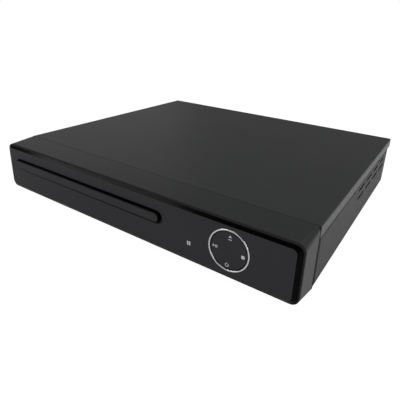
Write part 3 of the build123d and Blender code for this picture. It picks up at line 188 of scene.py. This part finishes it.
# painted shade: a black line along the rear edge of each side, where it meets the chassis
for side in (BEZEL_LOW.x, BEZEL_HIGH.x):
    BEZEL_RIM_AND_SEAM_SHADE.append(("Y", COVER_LOW.y, 2.2 * MM, "040404", 0.95, "X", side, 1.2 * MM))
bezel_abs = grained("moulded_abs_satin", "242526", "2a2b2c", 0.38, 0.5, 0.015, bands=BEZEL_RIM_AND_SEAM_SHADE)
# moulded ABS of the tray: a finer, duller spark texture
tray_abs = grained("moulded_abs_tray", "222224", "28282a", 0.45, 0.5, 0.012)
# glass-filled ABS of the loader: dull, slightly streaky from flow
loader_abs = grained("glass_filled_abs", "1b1b1d", "242427", 0.55, 1.6, 0.03)
# cold-rolled steel pressings inside the drive
cold_steel = grained("cold_rolled_steel", "8e9091", "a2a4a5", 0.32, 1.2, 0.01, metallic=1.0)
# die-cast aluminium of the pickup and extruded fins
cast_aluminium = grained("die_cast_aluminium", "a8aaac", "bcbec0", 0.40, 0.8, 0.02, metallic=1.0)
# black zinc-plated screws
black_zinc = grained("black_zinc_plate", "2a2b2d", "3a3b3e", 0.30, 0.4, 0.005, metallic=1.0)
# bright chrome plate over plastic, on the ring round the key
chrome = grained("bright_chrome_plate", "d9dadb", "e4e5e6", 0.12, 0.6, 0.0015, metallic=1.0, spread=0.03)
# nickel-plated contacts, rods and shells
nickel = grained("nickel_plate", "c2bdb2", "d0ccc2", 0.20, 0.6, 0.002, metallic=1.0, spread=0.05)
# turned brass of the sled's pinion
brass = grained("turned_brass", "b58f45", "c7a45a", 0.26, 0.5, 0.004, metallic=1.0)
# natural acetal of the gears: milky, waxy
acetal = grained("natural_acetal", "dcd9cf", "e6e3da", 0.34, 0.7, 0.006)
# black rubber of the feet, the belt and the grommets
rubber = grained("moulded_rubber", "161616", "1e1e1e", 0.68, 0.6, 0.03)
# epoxy moulding compound of chips and switches
moulding_compound = grained("epoxy_compound", "191a1b", "222324", 0.55, 0.3, 0.008)
# the transformer: a dull ferrite core and yellow tape round the coil
ferrite = grained("sintered_ferrite", "2f2e2d", "3b3937", 0.62, 0.7, 0.02)
coil_tape = grained("polyester_coil_tape", "b8941f", "c9a733", 0.28, 2.5, 0.02)
# shrunk PVC sleeves of the capacitors
cap_sleeve = grained("pvc_sleeve", "15171c", "1c1f26", 0.30, 3.0, 0.01)
# polyester film of the ribbon cable
ribbon_pet = grained("polyester_ribbon", "d8d7d0", "e2e1dc", 0.30, 2.0, 0.01)
# glass tube of the fuse
fuse_glass = grained("fuse_glass", "b9c4c2", "c8d2d0", 0.10, 2.0, 0.002)
# white ink of the printed marks, slightly uneven
printed_ink = grained("screen_printed_ink", "c6c7c8", "d4d5d6", 0.45, 0.25, 0.003)


def pill_distance(tree, place, node, drop_mm):
    """The distance in the front plane beyond the outline of a round-ended piece, lowered a little."""
    lo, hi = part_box(node)
    centre, half = (lo + hi) / 2, (hi - lo) / 2
    axes = add(tree, "ShaderNodeSeparateXYZ", {"Vector": place})
    side = figured(tree, "ABSOLUTE", figured(tree, "SUBTRACT", axes.outputs["X"], centre.x))
    beyond = figured(tree, "MAXIMUM", figured(tree, "SUBTRACT", side, half.x - half.z), 0.0)
    above = figured(tree, "SUBTRACT", axes.outputs["Z"], centre.z - drop_mm * MM)
    flat = add(tree, "ShaderNodeCombineXYZ", {"X": beyond, "Y": above})
    reach = add(tree, "ShaderNodeVectorMath", {0: flat.outputs["Vector"]}, operation="LENGTH")
    return figured(tree, "SUBTRACT", reach.outputs["Value"], half.z)


FACE_BASE, FACE_TONE = "353538", "3b3b3d"  # satin charcoal of the face
EDGE_BLACK = "020202"
FACE_ROUGH, EDGE_ROUGH = 0.40, 0.11
FACE_DRIFT_MM = 40
EDGE_START_MM, EDGE_FULL_MM = 0.12, 0.20  # depths behind the face between which the edge turns black
FACE_GRAIN_MM, FACE_BUMP_MM = 0.5, 0.012
FACE_SPECULAR = 0.06  # the matt texture gives hardly any reflection
MOUTH_SHADE = (0.45, 1.20, 1.05)  # painted shade: black round the tray's mouth, on the fascia, where the gap round the tray front lies
TRAY_RIM = (0.0, -0.75, -0.50)  # black along the tray front's own edge


def fascia_finish(name, node, rim=None):
    """Moulded ABS: a satin charcoal face with polished black edges.

    A rim, black as well, follows the tray front's outline; round the tray's mouth on the fascia it is painted
    shade. It is given in millimetres, by how far it is lowered and by the distances from the outline at which
    the black is none and full.
    """
    material, tree, shader, place = new_material(name)
    face = blended(tree, noise(tree, place, FACE_DRIFT_MM, 2.0), FACE_BASE, FACE_TONE)
    face_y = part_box(node)[0].y
    axes = add(tree, "ShaderNodeSeparateXYZ", {"Vector": place})
    black = ranged(tree, axes.outputs["Y"], face_y + EDGE_START_MM * MM, face_y + EDGE_FULL_MM * MM)
    if rim:
        drop_mm, none_mm, full_mm = rim
        away = pill_distance(tree, place, "tray_front", drop_mm)
        black = figured(tree, "MAXIMUM", black, ranged(tree, away, none_mm * MM, full_mm * MM))
    tree.links.new(blended(tree, black, face, EDGE_BLACK), shader.inputs["Base Color"])
    tree.links.new(ranged(tree, black, 0.0, 1.0, FACE_ROUGH, EDGE_ROUGH), shader.inputs["Roughness"])
    set_inputs(shader, Specular_IOR_Level=FACE_SPECULAR)
    bumped(tree, shader, noise(tree, place, FACE_GRAIN_MM, 3.0), FACE_BUMP_MM, 0.6)
    return material


TRACKS_MM, VIAS_MM = 9, 3  # spacing of the pattern on the boards


def board_finish(name):
    """Fibreglass board under green lacquer, with tracks and vias drawn coarse enough to show."""
    material, tree, shader, place = new_material(name)
    spacing = 1.0 / (TRACKS_MM * MM)
    tracks = add(tree, "ShaderNodeTexBrick", {"Vector": place}, Scale=spacing, Mortar_Size=0.04)
    for socket, code in (("Color1", "1c5a2e"), ("Color2", "1f6234"), ("Mortar", "2c7d45")):
        tracks.inputs[socket].default_value = colour(code)
    vias = add(tree, "ShaderNodeTexVoronoi", {"Vector": place}, Scale=1.0 / (VIAS_MM * MM))
    lacquer = ranged(tree, vias.outputs["Distance"], 0.10, 0.14)
    tree.links.new(blended(tree, lacquer, "b9b08a", tracks.outputs["Color"]), shader.inputs["Base Color"])
    set_inputs(shader, Roughness=0.30)
    return material


def phono_finish(name):
    """Moulded nylon of the phono jacks: white and red above, yellow and black below."""
    material, tree, shader, place = new_material(name)
    centre = middle("jack_inserts")
    axes = add(tree, "ShaderNodeSeparateXYZ", {"Vector": place})
    right = figured(tree, "GREATER_THAN", axes.outputs["X"], centre.x)
    upper = figured(tree, "GREATER_THAN", axes.outputs["Z"], centre.z)
    lower_row = blended(tree, right, "d9ac14", "1b1c1f")
    upper_row = blended(tree, right, "e4e2dc", "a5181d")
    tree.links.new(blended(tree, upper, lower_row, upper_row), shader.inputs["Base Color"])
    bumped(tree, shader, noise(tree, place, 0.4, 2.0), 0.01, 0.6)
    set_inputs(shader, Roughness=0.36)
    return material


def glass_finish(name):
    """Coated lens glass: clear with a blue cast."""
    material, tree, shader, place = new_material(name)
    set_inputs(shader, Base_Color=colour("9fb6e6"), Roughness=0.04, Transmission_Weight=0.7)
    return material


phono_nylon = phono_finish("moulded_nylon_jacks")
fascia_abs = fascia_finish("moulded_abs_fascia", "fascia_panel", MOUTH_SHADE)
tray_front_abs = fascia_finish("moulded_abs_tray_front", "tray_front", TRAY_RIM)
key_abs = fascia_finish("moulded_abs_key", "control_disc")
board_lacquer = board_finish("lacquered_fibreglass")
lens_glass = glass_finish("coated_lens_glass")

FINISHES = {
    powder_coat: ["top_cover"],
    chassis_coat: ["chassis_tray", "rear_panel"],
    bezel_abs: ["front_bezel"],
    fascia_abs: ["fascia_panel"],
    key_abs: ["control_disc"],
    tray_front_abs: ["tray_front"],
    tray_abs: ["disc_tray"],
    chrome: ["control_ring"],
    rubber: ["rubber_feet", "drive_belt", "damper_grommets"],
    black_zinc: ["case_screws", "inner_screws", "damper_screws"],
    loader_abs: ["loader_frame", "clamp_puck", "traverse_cradle"],
    cold_steel: ["clamp_bridge", "clamp_yoke", "loading_motor", "sled_base", "spindle_motor", "sled_motor"],
    nickel: ["spindle_shaft", "guide_rods", "video_socket", "jack_barrels", "inlet_pins"],
    cast_aluminium: ["pickup_body", "heat_sink"],
    acetal: [
        "rocker_gimbal", "motor_pulley", "pulley_gear", "tray_gear", "cam_slider", "pickup_rack", "sled_gear",
        "switch_plunger_up", "switch_plunger_down", "switch_plunger_left", "switch_plunger_right",
    ],
    moulding_compound: [
        "switch_bodies", "remote_receiver", "turntable", "lens_holder", "chips", "jack_block", "mains_inlet",
    ],
    brass: ["sled_pinion"],
    board_lacquer: ["front_board", "power_board", "main_board"],
    ferrite: ["transformer_core"],
    coil_tape: ["transformer_coil"],
    cap_sleeve: ["capacitors"],
    fuse_glass: ["fuse"],
    phono_nylon: ["jack_inserts"],
    ribbon_pet: ["ribbon_cables"],
    lens_glass: ["objective_lens"],
}
for material, names in FINISHES.items():
    for name in names:
        NODES[name].data.materials.clear()
        NODES[name].data.materials.append(material)

# ---------------------------------------------------------------- printed marks
INK = 0.06 * MM  # thickness of the printed ink
STROKE = 0.3 * MM  # width of the standby ring's line
RING_GAP = radians(38)  # half of the standby ring's opening
# on the key: across and up from its centre, width, height, sides, turn in degrees and softening of the
# corners; lengths are in millimetres, and the open ring has no sides
KEY_MARKS = [
    ("mark_eject_arrow", 0.5, 7.9, 2.1, 1.7, 3, 0, 0.12),
    ("mark_eject_bar", 0.5, 6.3, 1.806, 0.42, 4, 0, 0.05),
    ("mark_stop", 8.1, -0.6, 1.8, 1.8, 4, 0, 0.12),
    ("mark_play", -8.7, 0, 1.6, 1.7, 3, -90, 0.12),
    ("mark_pause_left", -7.35, 0, 0.42, 1.6, 4, 0, 0.05),
    ("mark_pause_right", -6.65, 0, 0.42, 1.6, 4, 0, 0.05),
    ("mark_standby_ring", -0.4, -8.3, 1.9, 1.9, 0, 0, 0),
    ("mark_standby_stroke", -0.4, -7.5, 0.3, 1.0, 4, 0, 0.05),
]
# on the fascia, from the receiver's centre
RECEIVER_MARKS = [
    ("mark_receiver_left", -0.6, 0, 0.9, 2.3, 4, 0, 0.1),
    ("mark_receiver_right", 0.6, 0, 0.9, 2.3, 4, 0, 0.1),
]


def printed(name, spot, width_mm, height_mm, sides, turn, corner_mm):
    """A printed shape that faces the front: a flat polygon, its corners softened, then thickened."""
    bpy.ops.object.select_all(action="DESELECT")
    bpy.ops.mesh.primitive_circle_add(vertices=sides, radius=1.0, fill_type="NGON", location=(0, 0, 0))
    mark = bpy.context.object
    mark.name = name
    squared = sides == 4
    spin = pi / 4 if squared else 0.0
    reach = cos(pi / 4) if squared else 1.0
    mark.data.transform(Matrix.Rotation(spin + radians(turn), 4, "Z"))
    mark.data.transform(Matrix.Diagonal((width_mm * MM / 2 / reach, height_mm * MM / 2 / reach, 1, 1)))
    bpy.ops.object.mode_set(mode="EDIT")
    bpy.ops.mesh.select_all(action="SELECT")
    bpy.ops.mesh.bevel(affect="VERTICES", offset=corner_mm * MM, segments=2)
    bpy.ops.mesh.select_all(action="SELECT")
    bpy.ops.mesh.extrude_region_move(TRANSFORM_OT_translate={"value": (0, 0, INK)})
    bpy.ops.mesh.select_all(action="SELECT")
    bpy.ops.mesh.normals_make_consistent(inside=False)
    bpy.ops.object.mode_set(mode="OBJECT")
    return stood_up(mark, spot)


def open_ring(name, spot, radius_mm):
    """The ring of a standby sign, spun from a short stroke of ink and open at the top."""
    bpy.ops.object.select_all(action="DESELECT")
    bpy.ops.mesh.primitive_plane_add(size=STROKE, location=(radius_mm * MM, 0, 0), rotation=(pi / 2, 0, 0))
    bpy.ops.object.transform_apply(location=True, rotation=True, scale=True)
    mark = bpy.context.object
    mark.name = name
    mark.data.transform(Matrix.Diagonal((1, 1, INK / STROKE, 1)))
    mark.data.transform(Matrix.Rotation(pi / 2 - RING_GAP, 4, "Z"))
    bpy.ops.object.mode_set(mode="EDIT")
    bpy.ops.mesh.select_all(action="SELECT")
    bpy.ops.mesh.spin(steps=24, angle=2 * pi - 2 * RING_GAP, center=(0, 0, 0), axis=(0, 0, 1))
    bpy.ops.mesh.select_all(action="SELECT")
    bpy.ops.mesh.remove_doubles(threshold=0.001 * MM)
    bpy.ops.mesh.normals_make_consistent(inside=False)
    bpy.ops.object.mode_set(mode="OBJECT")
    return stood_up(mark, spot - Vector((0, INK / 2, 0)))


def stood_up(mark, spot):
    """Turns a flat mark to face the front at its spot and inks it."""
    mark.data.transform(Matrix.Translation(spot) @ Matrix.Rotation(pi / 2, 4, "X"))
    mark.data.materials.append(printed_ink)
    return mark


def marks_on(node, centre, rows):
    """Makes a table's marks on the front of a piece, one at a time."""
    face_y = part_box(node)[0].y
    for name, across, up, width, height, sides, turn, corner in rows:
        spot = Vector((centre.x + across * MM, face_y, centre.z + up * MM))
        if sides:
            yield printed(name, spot, width, height, sides, turn, corner)
        else:
            yield open_ring(name, spot, width / 2)


# eject above, stop at the right, play and pause at the left, standby below
for mark in marks_on("control_disc", middle("control_disc"), KEY_MARKS):
    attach(mark, "control_disc")
# the receiver's plain square, in two bars
for mark in marks_on("fascia_panel", middle("remote_receiver"), RECEIVER_MARKS):
    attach(mark, "case")

# ---------------------------------------------------------------- camera
# the view's turn, drop and roll in degrees and its place, from the straight edges of the case
VIEW_TURN, VIEW_DROP, VIEW_ROLL = 32.943, 20.597, -2.203
VIEW_PLACE = Vector((152.69, -246.75, 130.54)) * MM
IMAGE_SIZE = 400
FOCAL_PIXELS = 386.29
AXIS_PIXEL = (206.27, 161.08)  # where the view's axis meets the picture
SENSOR_MM = 36.0


def place_camera():
    turn, drop, roll = radians(VIEW_TURN), radians(VIEW_DROP), radians(VIEW_ROLL)
    forward = Vector((-sin(turn) * cos(drop), cos(turn) * cos(drop), -sin(drop)))
    right = Vector((cos(turn), sin(turn), 0))
    down = forward.cross(right)
    across = right * cos(roll) + down * sin(roll)
    below = -right * sin(roll) + down * cos(roll)
    data = bpy.data.cameras.new("camera")
    camera = bpy.data.objects.new("camera", data)
    bpy.context.scene.collection.objects.link(camera)
    turned = Matrix((across, -below, -forward)).transposed().to_4x4()
    camera.matrix_world = Matrix.Translation(VIEW_PLACE) @ turned
    data.sensor_width = SENSOR_MM
    data.lens = FOCAL_PIXELS / IMAGE_SIZE * SENSOR_MM
    data.shift_x = (IMAGE_SIZE / 2 - AXIS_PIXEL[0]) / IMAGE_SIZE
    data.shift_y = (AXIS_PIXEL[1] - IMAGE_SIZE / 2) / IMAGE_SIZE
    data.clip_start = 0.01
    bpy.context.scene.camera = camera


place_camera()

# ---------------------------------------------------------------- light and floor
# place, aim and size in metres, and power in watts
LIGHTS = {
    "right_window": ((1.3, -0.15, 0.55), (0, 0, 0.02), (1.2, 0.9), 9.2),
    "left_bank": ((-1.35, 0.85, 0.5), (0, 0, 0.02), (1.2, 0.6), 0.5),
    "front_fill": ((-0.55, -0.65, 0.34), (-0.09, -0.1, 0.02), (0.55, 0.45), 2.2),
    "top_bank": ((0.2, 0.15, 1.4), (0, 0, 0.02), (1.4, 1.4), 5.8),
}
for name, (place, aim, size, power) in LIGHTS.items():
    data = bpy.data.lights.new(name, "AREA")
    data.shape = "RECTANGLE"
    data.size, data.size_y = size
    data.energy = power
    light = bpy.data.objects.new(name, data)
    bpy.context.scene.collection.objects.link(light)
    light.location = place
    light.rotation_euler = (Vector(aim) - Vector(place)).to_track_quat("-Z", "Y").to_euler()


ROOM_DIM = 0.18  # strength of the white room for all but the eye
PAPER_SIZE = 6.0
PAPER_DROP = 0.05 * MM  # the sheet's distance below the feet
PAPER_GLOW, PAPER_SHARE = 1.15, 0.84  # strength and share of the glow that makes the sheet read white


def white_room():
    """A world that is plain white to the eye, and dimmer as a light and in reflections."""
    world = bpy.data.worlds.new("white_room")
    bpy.context.scene.world = world
    world.use_nodes = True
    tree = world.node_tree
    back = tree.nodes["Background"]
    path = add(tree, "ShaderNodeLightPath")
    level = ranged(tree, path.outputs["Is Camera Ray"], 0.0, 1.0, ROOM_DIM, 1.0)
    tree.links.new(level, back.inputs["Strength"])
    back.inputs["Color"].default_value = colour("ffffff")


white_room()


def pale_floor():
    """A pale sheet just under the feet: it reads white, keeps a soft shadow, and is clear from below."""
    bpy.ops.object.select_all(action="DESELECT")
    bpy.ops.mesh.primitive_plane_add(size=PAPER_SIZE, location=(0, 0, -PAPER_DROP))
    floor = bpy.context.object
    floor.name = "floor"
    material, tree, shader, place = new_material("white_paper")
    set_inputs(shader, Base_Color=colour("f2f2f2"), Roughness=0.9)
    path = add(tree, "ShaderNodeLightPath")
    share = ranged(tree, path.outputs["Is Camera Ray"], 0.0, 1.0, 0.0, PAPER_SHARE)
    glow = add(tree, "ShaderNodeEmission", Color=colour("ffffff"), Strength=PAPER_GLOW)
    paper = {0: share, 1: shader.outputs["BSDF"], 2: glow.outputs["Emission"]}
    mixed = add(tree, "ShaderNodeMixShader", paper)
    side = add(tree, "ShaderNodeNewGeometry")
    clear = add(tree, "ShaderNodeBsdfTransparent")
    faces = {0: side.outputs["Backfacing"], 1: mixed.outputs["Shader"], 2: clear.outputs["BSDF"]}
    sheet = add(tree, "ShaderNodeMixShader", faces)
    tree.links.new(sheet.outputs["Shader"], tree.nodes["Material Output"].inputs["Surface"])
    floor.data.materials.append(material)
    floor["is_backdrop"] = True


pale_floor()
bpy.context.scene.view_settings.view_transform = "Standard"

size = {"cad": [list(v) for v in cad_bounds], "visual": [list(v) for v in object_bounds()]}
